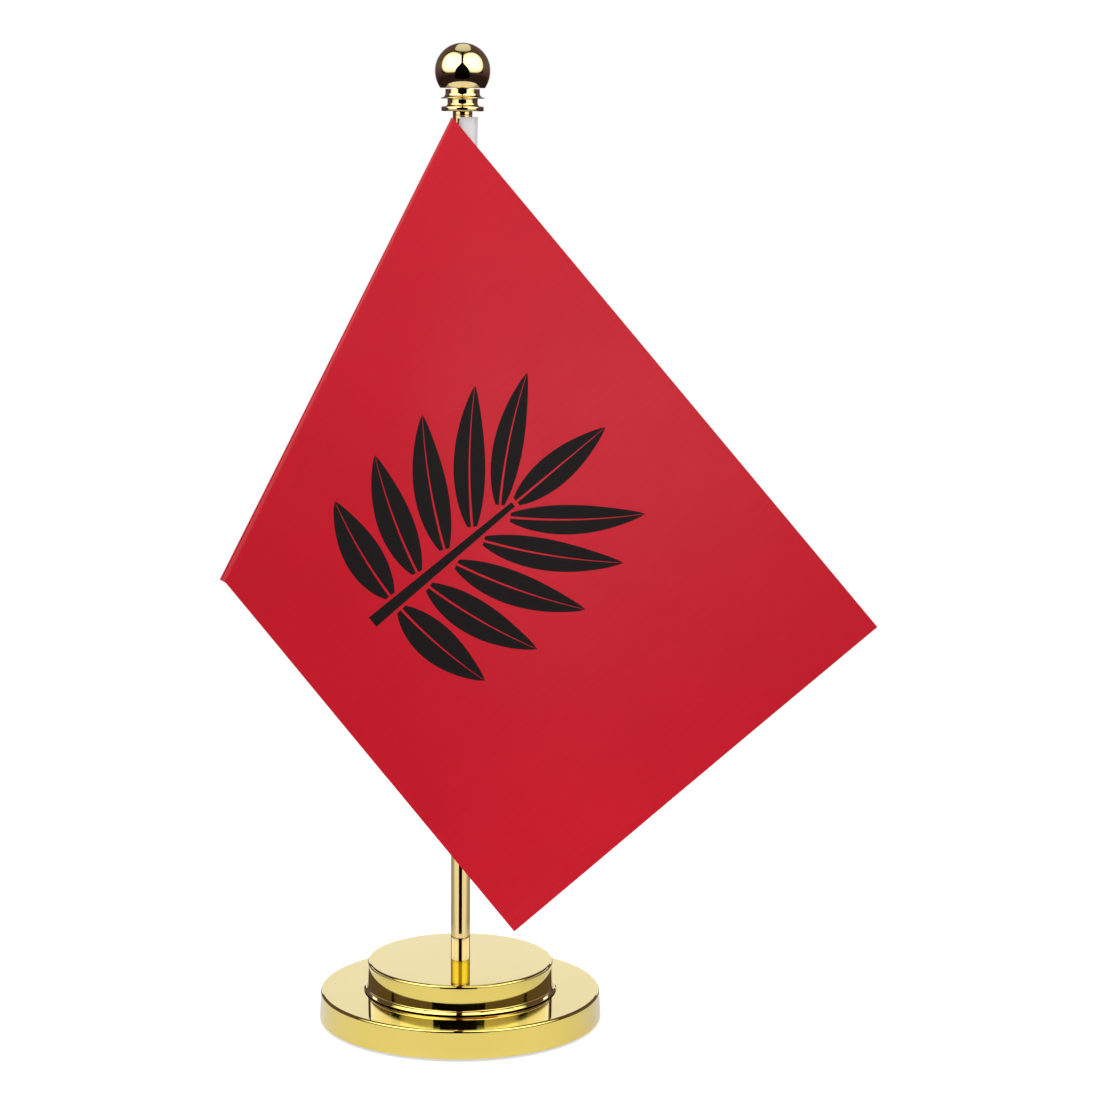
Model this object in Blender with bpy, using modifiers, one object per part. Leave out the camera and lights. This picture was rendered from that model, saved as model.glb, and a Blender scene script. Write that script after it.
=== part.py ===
"""A desk flag stand: two polished base tiers, a tubular pole with a ball finial, and a satin flag
that hangs from the pole in a sleeve.

Metres, +Z up. The origin is the centre of the base pad's underside, and the pole stands on the Z axis.
"""

import math

import bpy
from mathutils import Matrix, Vector

COLLECTION = "desk_flag_stand"
MERGE = 0.00001
GAP = 0.0003

# Lower tier, its ballast and what closes it underneath
PAD_THICKNESS = 0.0006
PAD_RADIUS = 0.0438
PAD_CHAMFER = 0.0002
LOWER_TOP = 0.0103
LOWER_TOP_RADIUS = 0.0463
LOWER_FOOT_RADIUS = 0.0467
SHELL_WALL = 0.0007
EDGE_ROUND = 0.0009
PLATE_THICKNESS = 0.0008
PLATE_CHAMFER = 0.0002
BALLAST_CLEARANCE = 0.0010
BALLAST_CHAMFER = 0.0012
HUB_HOLE_RADIUS = 0.0024

# Upper tier
UPPER_TOP = 0.0200
UPPER_TOP_RADIUS = 0.0307
UPPER_WAIST_RADIUS = 0.0309
UPPER_LIP_RADIUS = 0.0320
UPPER_LIP_HEIGHT = 0.0026
UPPER_LIP_THICKNESS = 0.0007

# Fastening up the middle: an M4 bolt from below into the pole
THREAD_RADIUS = 0.00195
TAPPED_RADIUS = 0.00203
THREAD_CHAMFER = 0.0004
BOLT_HEAD_RADIUS = 0.0040
BOLT_HEAD_HEIGHT = 0.0024
BOLT_HEAD_ROUND = 0.0010
BOLT_TOP = 0.0294
WASHER_RADIUS = 0.0046
WASHER_THICKNESS = 0.0006
SPLIT_GAP = 0.0007
COUNTERBORE_RADIUS = 0.0052
COUNTERBORE_TOP = 0.0066
NUT_ACROSS_FLATS = 0.0070
NUT_HEIGHT = 0.0030
SPACER_RADIUS = 0.0060

# Pole
POLE_RADIUS = 0.0032
POLE_WALL = 0.00055
POLE_TOP = 0.29705
INSERT_RADIUS = 0.0025
LOWER_INSERT_TOP = 0.0312
UPPER_INSERT_BOTTOM = 0.2886

# Finial
FINIAL_WASHER_THICKNESS = 0.0006
FINIAL_WASHER_RADIUS = 0.0031
FLANGE_BOTTOM = 0.29825
FLANGE_RADIUS = 0.0069
FLANGE_ROUND = 0.0005
COLLAR_RADIUS = 0.0070
LOWER_NECK_RADIUS = 0.0049
UPPER_NECK_RADIUS = 0.0056
FLANGE_TOP = 0.2998
COLLAR_BOTTOM = 0.3022
COLLAR_TOP = 0.3026
NECK_TOP = 0.3052
FINIAL_BORE_RADIUS = 0.00225
BALL_RADIUS = 0.00895
BALL_CENTRE = 0.31080
BALL_BOTTOM = 0.3055
BALL_WALL = 0.0008
BALL_NUT_RADIUS = 0.0042
BALL_NUT_HEIGHT = 0.0030
STUD_BOTTOM = 0.2893
STUD_TOP = 0.3110

# Flag: the front panel hangs from its apex beside the pole and folds back round to the sleeve
TOP_EDGE = 0.2100
FLY_EDGE = 0.1500
BOTTOM_EDGE = 0.1452
CLOTH_THICKNESS = 0.0006
APEX = Vector((-0.0033, -0.0056, 0.2962))
PANEL_SLOPE = math.radians(49.7)
PANEL_LEAN = math.radians(8.0)
PANEL_TURN = math.radians(0.4)
FOLD_RADIUS_TOP = 0.0007
FOLD_RADIUS_BOTTOM = 0.0022
SEAM_ANGLE_TOP = math.radians(232)
SEAM_ANGLE_BOTTOM = math.radians(180)

SLEEVE_TOP = 0.2965
SLEEVE_BOTTOM = 0.1465
SLEEVE_HALF_WIDTH = 0.0049
SLEEVE_HALF_DEPTH = 0.0041
SLEEVE_BORE = 0.0035
SEAM_THREAD_RADIUS = 0.0002
SEAM_INSET = 0.0012
SEAM_SHARES = (0.08, 0.3, 0.5, 0.7, 0.98)
STOP_RING_THICKNESS = 0.0012
STOP_RING_RADIUS = 0.0047


def clear_scene():
    for obj in list(bpy.data.objects):
        bpy.data.objects.remove(obj, do_unlink=True)


def new_collection(name):
    collection = bpy.data.collections.new(name)
    bpy.context.scene.collection.children.link(collection)
    return collection


def material(name, color, roughness, metallic):
    made = bpy.data.materials.new(name)
    made.use_nodes = True
    shader = made.node_tree.nodes["Principled BSDF"]
    shader.inputs["Base Color"].default_value = (*color, 1.0)
    shader.inputs["Roughness"].default_value = roughness
    shader.inputs["Metallic"].default_value = metallic
    return made


def gold(name):
    return material(name, (0.92, 0.70, 0.28), 0.06, 1.0)


def steel(name):
    return material(name, (0.62, 0.63, 0.65), 0.30, 1.0)


def cloth(name, color):
    return material(name, color, 0.55, 0.0)


def axis_empty(name, z, parent=None):
    empty = bpy.data.objects.new(name, None)
    empty.empty_display_size = 0.02
    bpy.context.scene.collection.objects.link(empty)
    place(empty, parent, z)
    return empty


def world_z(obj):
    return 0.0 if obj is None else obj.location.z + world_z(obj.parent)


def place(obj, parent, z):
    """Stand obj on the Z axis with its origin at world height z, under parent."""
    obj.parent = parent
    obj.location = (0.0, 0.0, z - world_z(parent))


def add_object(name, mesh, look, parent, z):
    obj = bpy.data.objects.new(name, mesh)
    mesh.materials.append(look)
    parts.objects.link(obj)
    place(obj, parent, z)
    return obj


def arc(centre_r, centre_z, radius, start, end, steps):
    """Points of a circular arc in the (r, z) plane, angles in degrees from +r towards +z."""
    points = []
    for i in range(steps + 1):
        angle = math.radians(start + (end - start) * i / steps)
        points.append((centre_r + radius * math.cos(angle), centre_z + radius * math.sin(angle)))
    return points


def turned(name, profile, look, parent, z, steps):
    """Turn a profile of (r, z) points round the Z axis; the points run down the outer side.

    z is the world height of the object's origin, and profile heights are measured from it.
    A profile with an end on the axis is open, and any other is a closed loop.
    """
    mesh = bpy.data.meshes.new(name)
    count = len(profile)
    edges = [(i, i + 1) for i in range(count - 1)]
    if profile[0][0] > 0.0:
        edges.append((count - 1, 0))
    mesh.from_pydata([(r, 0.0, height) for r, height in profile], edges, [])
    obj = add_object(name, mesh, look, parent, z)
    screw = obj.modifiers.new("turn", "SCREW")
    screw.steps = steps
    screw.render_steps = steps
    screw.use_merge_vertices = True
    screw.merge_threshold = MERGE
    screw.use_smooth_shade = True
    return obj


def ring_profile(inner, outer, height):
    """A plain ring or tube section standing on z = 0."""
    return [(outer, height), (outer, 0.0), (inner, 0.0), (inner, height)]


def chamfered_disc(inner, outer, height, chamfer):
    """A flat ring whose outer edges are chamfered."""
    return [
        (outer - chamfer, height), (outer, height - chamfer), (outer, chamfer), (outer - chamfer, 0.0),
        (inner, 0.0), (inner, height),
    ]


def rod_profile(radius, height, chamfer):
    """A solid disc or rod standing on z = 0, with chamfered ends."""
    return [
        (0.0, height), (radius - chamfer, height), (radius, height - chamfer), (radius, chamfer),
        (radius - chamfer, 0.0), (0.0, 0.0),
    ]


def lower_tier_profile():
    """A pressed cup, open below: flat top, rounded edge, and a side that widens a little downwards."""
    height = LOWER_TOP - PAD_THICKNESS - GAP
    inner_round = EDGE_ROUND - SHELL_WALL / 2
    top_centre = LOWER_TOP_RADIUS - EDGE_ROUND
    outer = [(HUB_HOLE_RADIUS, height)]
    outer += arc(top_centre, height - EDGE_ROUND, EDGE_ROUND, 90, 0, 3)
    outer += arc(LOWER_FOOT_RADIUS - SHELL_WALL / 2, SHELL_WALL / 2, SHELL_WALL / 2, 0, -180, 3)
    inside_edge = LOWER_TOP_RADIUS - SHELL_WALL
    inner = arc(inside_edge - inner_round, height - SHELL_WALL - inner_round, inner_round, 0, 90, 2)
    inner.append((HUB_HOLE_RADIUS, height - SHELL_WALL))
    return outer + inner


def upper_tier_profile():
    """A smaller pressed cup whose foot curls outwards into a thin lip."""
    height = UPPER_TOP - LOWER_TOP - GAP
    top_centre = UPPER_TOP_RADIUS - EDGE_ROUND
    flare = UPPER_LIP_RADIUS - UPPER_WAIST_RADIUS - UPPER_LIP_THICKNESS / 2
    lip_centre = UPPER_LIP_RADIUS - UPPER_LIP_THICKNESS / 2
    outer = [(HUB_HOLE_RADIUS, height)]
    outer += arc(top_centre, height - EDGE_ROUND, EDGE_ROUND, 90, 0, 3)
    outer.append((UPPER_WAIST_RADIUS, UPPER_LIP_HEIGHT))
    outer += arc(UPPER_WAIST_RADIUS + flare, UPPER_LIP_THICKNESS + flare, flare, 180, 262, 3)
    outer += arc(lip_centre, UPPER_LIP_THICKNESS / 2, UPPER_LIP_THICKNESS / 2, 60, -90, 3)
    inner_round = EDGE_ROUND - SHELL_WALL / 2
    inside_edge = UPPER_TOP_RADIUS - SHELL_WALL
    inner = [(UPPER_WAIST_RADIUS - SHELL_WALL, 0.0)]
    inner += arc(inside_edge - inner_round, height - SHELL_WALL - inner_round, inner_round, 0, 90, 2)
    inner.append((HUB_HOLE_RADIUS, height - SHELL_WALL))
    return outer + inner


def ballast_profile(bottom, top, radius):
    """A cast disc with a hole for the bolt and a counterbore below for its head."""
    height = top - bottom
    step = COUNTERBORE_TOP - bottom
    edge = radius - BALLAST_CHAMFER
    return [
        (edge, height), (radius, height - BALLAST_CHAMFER), (radius, BALLAST_CHAMFER), (edge, 0.0),
        (COUNTERBORE_RADIUS, 0.0), (COUNTERBORE_RADIUS, step), (HUB_HOLE_RADIUS, step),
        (HUB_HOLE_RADIUS, height),
    ]


def bolt_profile(head_bottom, top):
    """A pan head with a rounded lower edge, and a shank that ends in a chamfer."""
    height = top - head_bottom
    tip = THREAD_RADIUS - THREAD_CHAMFER
    points = [(0.0, height), (tip, height), (THREAD_RADIUS, height - THREAD_CHAMFER)]
    points += [(THREAD_RADIUS, BOLT_HEAD_HEIGHT), (BOLT_HEAD_RADIUS, BOLT_HEAD_HEIGHT)]
    points += arc(BOLT_HEAD_RADIUS - BOLT_HEAD_ROUND, BOLT_HEAD_ROUND, BOLT_HEAD_ROUND, 0, -90, 3)
    points.append((0.0, 0.0))
    return points


def neck_profile():
    """The turned neck under the ball: a flange, a hollowed neck, a sharp collar and a second neck."""
    flange = FLANGE_TOP - FLANGE_BOTTOM
    collar_bottom = COLLAR_BOTTOM - FLANGE_BOTTOM
    collar_top = COLLAR_TOP - FLANGE_BOTTOM
    top = NECK_TOP - FLANGE_BOTTOM
    points = [(UPPER_NECK_RADIUS, top)]
    cove = COLLAR_RADIUS - UPPER_NECK_RADIUS
    points += arc(COLLAR_RADIUS, collar_top + cove, cove, 180, 262, 4)
    points += [(COLLAR_RADIUS, collar_bottom), (LOWER_NECK_RADIUS, collar_bottom)]
    cove = (FLANGE_RADIUS - LOWER_NECK_RADIUS) / 2
    points += arc(LOWER_NECK_RADIUS + cove, flange + cove, cove, 180, 262, 4)
    rounded = FLANGE_RADIUS - FLANGE_ROUND
    points += arc(rounded, flange - FLANGE_ROUND, FLANGE_ROUND, 75, 0, 2)
    points += arc(rounded, FLANGE_ROUND, FLANGE_ROUND, 0, -90, 2)
    points += [(FINIAL_BORE_RADIUS, 0.0), (FINIAL_BORE_RADIUS, top)]
    return points


def ball_profile():
    """A thin hollow ball, cut flat below with a hole for the stud."""
    centre = BALL_CENTRE - BALL_BOTTOM
    inner_radius = BALL_RADIUS - BALL_WALL
    cut = math.degrees(math.asin(centre / BALL_RADIUS))
    inner_cut = math.degrees(math.asin((centre - BALL_WALL) / inner_radius))
    points = arc(0.0, centre, BALL_RADIUS, 90, -cut, 10)
    points[0] = (0.0, centre + BALL_RADIUS)
    points += [(FINIAL_BORE_RADIUS, 0.0), (FINIAL_BORE_RADIUS, BALL_WALL)]
    points += arc(0.0, centre, inner_radius, -inner_cut, 90, 6)
    points[-1] = (0.0, centre + inner_radius)
    return points


def hex_nut(name, look, parent, z):
    """A hexagonal prism with the M4 hole through it, cut with a Boolean."""
    radius = NUT_ACROSS_FLATS / math.sqrt(3)
    bpy.ops.mesh.primitive_cylinder_add(vertices=6, radius=radius, depth=NUT_HEIGHT)
    nut = bpy.context.object
    bpy.ops.mesh.primitive_cylinder_add(vertices=24, radius=HUB_HOLE_RADIUS, depth=NUT_HEIGHT * 2)
    cutter = bpy.context.object
    finish_cut(name, nut, cutter, look, parent, z + NUT_HEIGHT / 2)
    return nut


def split_washer(name, look, parent, z):
    """A flat spring ring with a narrow gap cut through one side."""
    ring = turned(name, ring_profile(HUB_HOLE_RADIUS, BOLT_HEAD_RADIUS, WASHER_THICKNESS), look, parent, z, 32)
    middle = (HUB_HOLE_RADIUS + BOLT_HEAD_RADIUS) / 2
    bpy.ops.mesh.primitive_cube_add(size=1.0, location=(middle, 0.0, z))
    cutter = bpy.context.object
    cutter.scale = (BOLT_HEAD_RADIUS, SPLIT_GAP, BOLT_HEAD_RADIUS)
    cutter.name = name + "_gap"
    add_cut(ring, cutter)
    return ring


def add_cut(obj, cutter):
    for collection in list(cutter.users_collection):
        collection.objects.unlink(cutter)
    cutters.objects.link(cutter)
    cutter.hide_render = True
    cutter.display_type = "WIRE"
    cut = obj.modifiers.new("cut", "BOOLEAN")
    cut.operation = "DIFFERENCE"
    cut.solver = "EXACT"
    cut.object = cutter


def finish_cut(name, obj, cutter, look, parent, z):
    """Name and place a primitive and its cutter, which share one centre, and cut the one with the other."""
    for collection in list(obj.users_collection):
        collection.objects.unlink(obj)
    parts.objects.link(obj)
    obj.name = name
    obj.data.name = name
    obj.data.materials.append(look)
    place(obj, parent, z)
    cutter.name = name + "_bore"
    cutter.location = (0.0, 0.0, z)
    add_cut(obj, cutter)


def panel_axes():
    """Unit vectors in the front panel: along the top edge, down the fly edge, and backwards out of it."""
    tilt = Matrix.Rotation(PANEL_TURN, 3, "Z") @ Matrix.Rotation(-PANEL_LEAN, 3, "X")
    across = tilt @ Vector((1.0, 0.0, 0.0))
    up = tilt @ Vector((0.0, 0.0, 1.0))
    back = tilt @ Vector((0.0, 1.0, 0.0))
    along_top = across * math.cos(PANEL_SLOPE) - up * math.sin(PANEL_SLOPE)
    down_fly = -across * math.sin(PANEL_SLOPE) - up * math.cos(PANEL_SLOPE)
    return along_top, down_fly, back


def seam_point(share):
    """A point of the line where the cloth meets the sleeve, share 0 at the top and 1 at the bottom."""
    angle = SEAM_ANGLE_TOP + (SEAM_ANGLE_BOTTOM - SEAM_ANGLE_TOP) * share
    clear = GAP + CLOTH_THICKNESS
    x = (SLEEVE_HALF_WIDTH + clear) * math.cos(angle)
    y = (SLEEVE_HALF_DEPTH + clear) * math.sin(angle)
    z = APEX.z - (APEX.z - SLEEVE_BOTTOM) * share
    return Vector((x, y, z))


def cloth_row(share):
    """One row of the cloth, from the seam round the fold and across the front panel to its far edge."""
    along_top, down_fly, back = panel_axes()
    far_top = APEX + along_top * TOP_EDGE
    far = far_top + down_fly * FLY_EDGE * share
    low_corner = far_top + down_fly * FLY_EDGE - along_top * BOTTOM_EDGE
    fold_line = (low_corner - APEX).normalized()
    into_panel = along_top - fold_line * along_top.dot(fold_line)
    into_panel.normalize()
    radius = FOLD_RADIUS_TOP + (FOLD_RADIUS_BOTTOM - FOLD_RADIUS_TOP) * share
    edge = APEX + (low_corner - APEX) * share
    centre = edge + into_panel * radius + back * radius
    bend = []
    bend_steps = 5
    for i in range(bend_steps + 1):
        angle = math.pi * i / bend_steps
        bend.append(centre + back * radius * math.cos(angle) - into_panel * radius * math.sin(angle))
    seam = seam_point(share)
    flap = [seam.lerp(bend[0], i / 4) for i in range(4)]
    panel = [bend[-1].lerp(far, (i + 1) / 6) for i in range(6)]
    return flap + bend + panel


def flag_cloth(name, look, parent):
    """The cloth as a grid of rows from the top edge to the bottom edge, made thick by Solidify."""
    rows = 12
    grid = [cloth_row(i / rows) for i in range(rows + 1)]
    width = len(grid[0])
    origin = Vector((0.0, 0.0, world_z(parent)))
    points = [point - origin for row in grid for point in row]
    faces = []
    for i in range(rows):
        for j in range(width - 1):
            start = i * width + j
            faces.append((start, start + 1, start + width + 1, start + width))
    mesh = bpy.data.meshes.new(name)
    mesh.from_pydata(points, [], faces)
    obj = add_object(name, mesh, look, parent, world_z(parent))
    thick = obj.modifiers.new("thickness", "SOLIDIFY")
    thick.thickness = CLOTH_THICKNESS
    thick.offset = 0.0
    return obj


def flag_sleeve(name, look, parent):
    """An oval tube of cloth round the pole, a little wider than it is deep."""
    height = SLEEVE_TOP - SLEEVE_BOTTOM
    bpy.ops.mesh.primitive_cylinder_add(vertices=32, radius=1.0, depth=height)
    sleeve = bpy.context.object
    sleeve.data.transform(Matrix.Diagonal((SLEEVE_HALF_WIDTH, SLEEVE_HALF_DEPTH, 1.0, 1.0)))
    bpy.ops.mesh.primitive_cylinder_add(vertices=32, radius=SLEEVE_BORE, depth=height * 1.1)
    cutter = bpy.context.object
    finish_cut(name, sleeve, cutter, look, parent, SLEEVE_BOTTOM + height / 2)
    return sleeve


def seam_thread(name, look, parent):
    """The sewing thread of the sleeve seam: one straight run on the outer face of the cloth."""
    outward = CLOTH_THICKNESS / 2 + SEAM_THREAD_RADIUS + GAP / 2
    points = []
    for share in SEAM_SHARES:
        row = cloth_row(share)
        across = (row[1] - row[0]).normalized()
        down = (cloth_row(share + 0.01)[0] - row[0]).normalized()
        outside = down.cross(across).normalized()
        points.append(row[0] + across * SEAM_INSET + outside * outward)
    curve = bpy.data.curves.new(name, "CURVE")
    curve.dimensions = "3D"
    curve.bevel_depth = SEAM_THREAD_RADIUS
    curve.bevel_resolution = 1
    curve.use_fill_caps = True
    spline = curve.splines.new("POLY")
    spline.points.add(len(points) - 1)
    height = world_z(parent)
    for target, point in zip(spline.points, points):
        target.co = (point.x, point.y, point.z - height, 1.0)
    return add_object(name, curve, look, parent, height)


def build_base():
    plate_bottom = PAD_THICKNESS + GAP
    ballast_bottom = plate_bottom + PLATE_THICKNESS + GAP
    ballast_top = LOWER_TOP - SHELL_WALL - GAP
    inside = LOWER_TOP_RADIUS - SHELL_WALL
    upper_bottom = LOWER_TOP + GAP
    pad = rod_profile(PAD_RADIUS, PAD_THICKNESS, PAD_CHAMFER)
    turned("base_pad", pad, material("pad", (0.02, 0.02, 0.02), 0.9, 0.0), None, 0.0, 48)
    plate = chamfered_disc(COUNTERBORE_RADIUS, inside - GAP * 2, PLATE_THICKNESS, PLATE_CHAMFER)
    turned("bottom_plate", plate, steel("plate"), None, plate_bottom, 40)
    turned("ballast_disc", ballast_profile(ballast_bottom, ballast_top, inside - BALLAST_CLEARANCE),
           material("ballast", (0.16, 0.16, 0.17), 0.7, 0.6), None, ballast_bottom, 40)
    turned("lower_tier_shell", lower_tier_profile(), gold("lower_gold"), None, PAD_THICKNESS + GAP, 64)
    turned("upper_tier_shell", upper_tier_profile(), gold("upper_gold"), None, upper_bottom, 56)
    hex_nut("clamp_nut", steel("nut"), None, upper_bottom)
    spacer_bottom = upper_bottom + NUT_HEIGHT + GAP
    spacer_height = UPPER_TOP - SHELL_WALL - GAP - spacer_bottom
    turned("tier_spacer", ring_profile(HUB_HOLE_RADIUS, SPACER_RADIUS, spacer_height),
           material("spacer", (0.75, 0.74, 0.70), 0.5, 0.0), None, spacer_bottom, 32)
    build_bolt(plate_bottom + PLATE_THICKNESS + GAP)


def build_bolt(lowest):
    """The bolt from below, with a flat washer and a spring washer between its head and the ballast."""
    turned("base_bolt", bolt_profile(lowest, BOLT_TOP), steel("bolt"), None, lowest, 28)
    spring_bottom = lowest + BOLT_HEAD_HEIGHT + GAP / 2
    split_washer("spring_washer", steel("spring_washer"), None, spring_bottom)
    flat_bottom = spring_bottom + WASHER_THICKNESS + GAP / 2
    turned("flat_washer", ring_profile(HUB_HOLE_RADIUS, WASHER_RADIUS, WASHER_THICKNESS),
           steel("flat_washer"), None, flat_bottom, 32)


def build_pole(axis):
    bottom = UPPER_TOP + GAP
    bore = POLE_RADIUS - POLE_WALL
    turned("pole_tube", ring_profile(bore, POLE_RADIUS, POLE_TOP - bottom), gold("pole_gold"), axis, bottom, 40)
    insert_bottom = bottom + GAP
    turned("lower_pole_insert", ring_profile(TAPPED_RADIUS, INSERT_RADIUS, LOWER_INSERT_TOP - insert_bottom),
           material("lower_insert", (0.75, 0.60, 0.30), 0.3, 1.0), axis, insert_bottom, 28)
    insert_top = POLE_TOP - GAP
    turned("upper_pole_insert", ring_profile(TAPPED_RADIUS, INSERT_RADIUS, insert_top - UPPER_INSERT_BOTTOM),
           material("upper_insert", (0.75, 0.60, 0.30), 0.3, 1.0), axis, UPPER_INSERT_BOTTOM, 28)
    turned("finial_washer", ring_profile(FINIAL_BORE_RADIUS, FINIAL_WASHER_RADIUS, FINIAL_WASHER_THICKNESS),
           material("finial_washer", (0.05, 0.05, 0.05), 0.6, 0.0), axis, POLE_TOP + GAP, 28)


def build_finial(axis):
    stud = rod_profile(THREAD_RADIUS, STUD_TOP - STUD_BOTTOM, THREAD_CHAMFER)
    turned("finial_stud", stud, steel("stud"), axis, STUD_BOTTOM, 24)
    turned("finial_neck", neck_profile(), gold("neck_gold"), axis, FLANGE_BOTTOM, 32)
    turned("finial_ball", ball_profile(), gold("ball_gold"), axis, BALL_BOTTOM, 36)
    nut_bottom = BALL_BOTTOM + BALL_WALL + GAP
    turned("finial_ball_nut", ring_profile(FINIAL_BORE_RADIUS, BALL_NUT_RADIUS, BALL_NUT_HEIGHT),
           steel("ball_nut"), axis, nut_bottom, 24)


def build_flag(axis):
    flag_sleeve("flag_sleeve", cloth("sleeve_cloth", (0.86, 0.86, 0.85)), axis)
    flag_cloth("flag_cloth", cloth("flag_satin", (0.55, 0.02, 0.04)), axis)
    seam_thread("seam_thread", cloth("thread", (0.80, 0.80, 0.80)), axis)


def build_stop_ring(axis):
    """A rubber ring that grips the pole and holds the sleeve up."""
    radius = STOP_RING_THICKNESS
    centre = STOP_RING_RADIUS - radius / 2
    bottom = SLEEVE_BOTTOM - GAP - radius
    inner = POLE_RADIUS + GAP / 3
    profile = arc(centre, radius / 2, radius / 2, 90, -90, 4) + [(inner, 0.0), (inner, radius)]
    turned("stop_ring", profile, material("rubber", (0.03, 0.03, 0.03), 0.7, 0.0), axis, bottom, 24)


clear_scene()
parts = new_collection(COLLECTION)
cutters = new_collection("cutters")
build_base()
pole_axis = axis_empty("pole_axis", UPPER_TOP)
build_pole(pole_axis)
finial_axis = axis_empty("finial_axis", FLANGE_BOTTOM, pole_axis)
build_finial(finial_axis)
ring_axis = axis_empty("ring_axis", SLEEVE_BOTTOM, pole_axis)
build_stop_ring(ring_axis)
flag_axis = axis_empty("flag_axis", SLEEVE_BOTTOM, ring_axis)
build_flag(flag_axis)
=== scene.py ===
"""The looks of the desk flag stand: polished gold tiers, pole and finial, and a satin flag in its sleeve.

Metres, +Z up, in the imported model's own frame: the pole stands on the Z axis and the camera looks along +Y.
"""

import math

import bmesh
import bpy
from mathutils import Matrix, Vector, geometry, kdtree


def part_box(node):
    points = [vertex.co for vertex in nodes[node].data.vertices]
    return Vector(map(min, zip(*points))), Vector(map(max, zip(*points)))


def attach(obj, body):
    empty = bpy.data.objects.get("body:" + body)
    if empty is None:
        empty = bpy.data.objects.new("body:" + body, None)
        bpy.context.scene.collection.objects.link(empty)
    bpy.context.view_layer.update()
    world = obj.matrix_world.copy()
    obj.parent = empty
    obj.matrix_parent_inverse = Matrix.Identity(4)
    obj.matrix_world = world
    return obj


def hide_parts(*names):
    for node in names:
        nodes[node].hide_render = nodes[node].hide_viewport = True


# Camera, nearly level with the finial and looking a little down
CAMERA_PLACE = (0.0288, -0.8852, 0.2875)
CAMERA_PITCH = math.radians(8.353)
CAMERA_ROLL = math.radians(0.42)
CAMERA_LENS = 90.0
SENSOR = 36.0

# Studio, laid out from the finial: two soft boxes in front, a board behind and a strip overhead. Glows are
# given for the middle and the rim.
FINIAL_HEIGHT = 0.311
BOX_AZIMUTH = 49.0
BOX_ELEVATION = 34.0
BOX_DISTANCE = 0.52
BOX_SIZE = (1.17, 0.88)
BOX_GLOW = (2.9, 0.25)
CORNER_POWER = 2.6
BOARD_AZIMUTH = 180.0
BOARD_ELEVATION = -1.5
BOARD_DISTANCE = 1.5
BOARD_SIZE = (1.5, 0.62)
BOARD_GLOW = (1.0, 0.9)
STRIP_HALF_WIDTHS = (0.42, 0.14)
STRIP_FRONT = -0.06
STRIP_BACK = 1.55
STRIP_HEIGHT = 1.3
STRIP_GLOW = (0.85, 0.6)

# A black screen stands between the soft boxes: wide at the table, narrow above the finial. A black bar runs
# back over the finial; its ends are given as y, z and half width.
SCREEN_Y = -0.50
SCREEN_TOP = 0.80
SCREEN_HALF_WIDTH = 0.31
SCREEN_REACH = 0.535
SCREEN_SHAPE = 4.1
SCREEN_NARROWEST = 0.030
SCREEN_STEPS = 48
BAR_FRONT = (-0.44, 0.535, 0.030)
BAR_BACK = (-0.12, 1.010, 0.040)
BLACK_CARD = (0.004, 0.004, 0.006)

# Small cards bent round the base, from one rim (radius, height) to another, reaching so many degrees round
# from the front. The upper tier mirrors a white one. The pole's mirror image in it shows an amber one, a
# painted reflection that the pole alone sees, which slopes so that the pole itself sees it edge-on; brown
# ones in the middle and beyond it are painted reflections too. A dark one gives the pole its dark line.
COLLAR_STEP = 3.0
COLLAR_REACH = 128.0
AMBER_REACH = 93.0
DARK_CARD_REACH = 19.0
WHITE_RIMS = ((0.092, 0.0388), (0.092, 0.0471))
AMBER_RIMS = ((0.085, 0.0537), (0.0994, 0.0493))
DARK_RIMS = ((0.091, 0.0035), (0.091, 0.0470))
WHITE_GLOW = (1.15, 1.30, 2.1)
# Painted reflections: the amber and brown glows of cards that only the pole sees
AMBER_PAINTED_REFLECTION = (1.08, 1.10, 0.16)
BROWN_PAINTED_REFLECTION = (0.44, 0.36, 0.01)

# Lamps that light only the flag: name, place, target, width and height, power, and if its gloss shows them
LAMPS = (
    ("sheen_lamp", (0.063, -0.490, 0.273), (0.051, -0.006, 0.19), (0.07, 0.175), 0.17, True),
    ("fill_lamp", (0.050, -0.180, 0.022), (0.035, -0.030, 0.090), (0.03, 0.03), 0.046, False),
    ("back_lamp", (0.10, 0.60, 0.40), (0.03, 0.0, 0.17), (0.40, 0.40), 2.2, False),
)

# The dim room behind the lights: colours at heights from straight down, -1, to straight up, 1
STUDIO_WALLS = (
    (-0.95, (0.03, 0.018, 0.024)), (-0.28, (0.025, 0.013, 0.02)), (0.02, (0.11, 0.06, 0.10)),
    (0.20, (0.13, 0.105, 0.11)), (0.50, (0.12, 0.075, 0.085)), (0.95, (0.10, 0.06, 0.06)),
)

# The white table: its own glow in reflections, and the glow that the camera sees, weaker close to the base as
# a painted contact shadow.
# Behind the object, away from it, it is painted dimmer, a painted shade that only reflections show.
FLOOR_RADIUS = 0.35
FLOOR_STEPS = 96
FLOOR_ALBEDO = 0.66
FLOOR_GLOW = 0.27
# Painted contact shadow: the camera's glow of the table close to the base, and where it fades out
PAINTED_CONTACT_SHADOW_GLOW = 0.62
CONTACT_RADIUS = 0.0470
CLEAR_RADIUS = 0.0510
# Where the painted shade behind the object begins, and how much darker it makes the table
REFLECTED_SHADE_FROM_RADIUS = (0.085, 0.115)
REFLECTED_SHADE_FROM_Y = (-0.075, 0.015)
REFLECTED_SHADE_SHARE = 0.56

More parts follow.
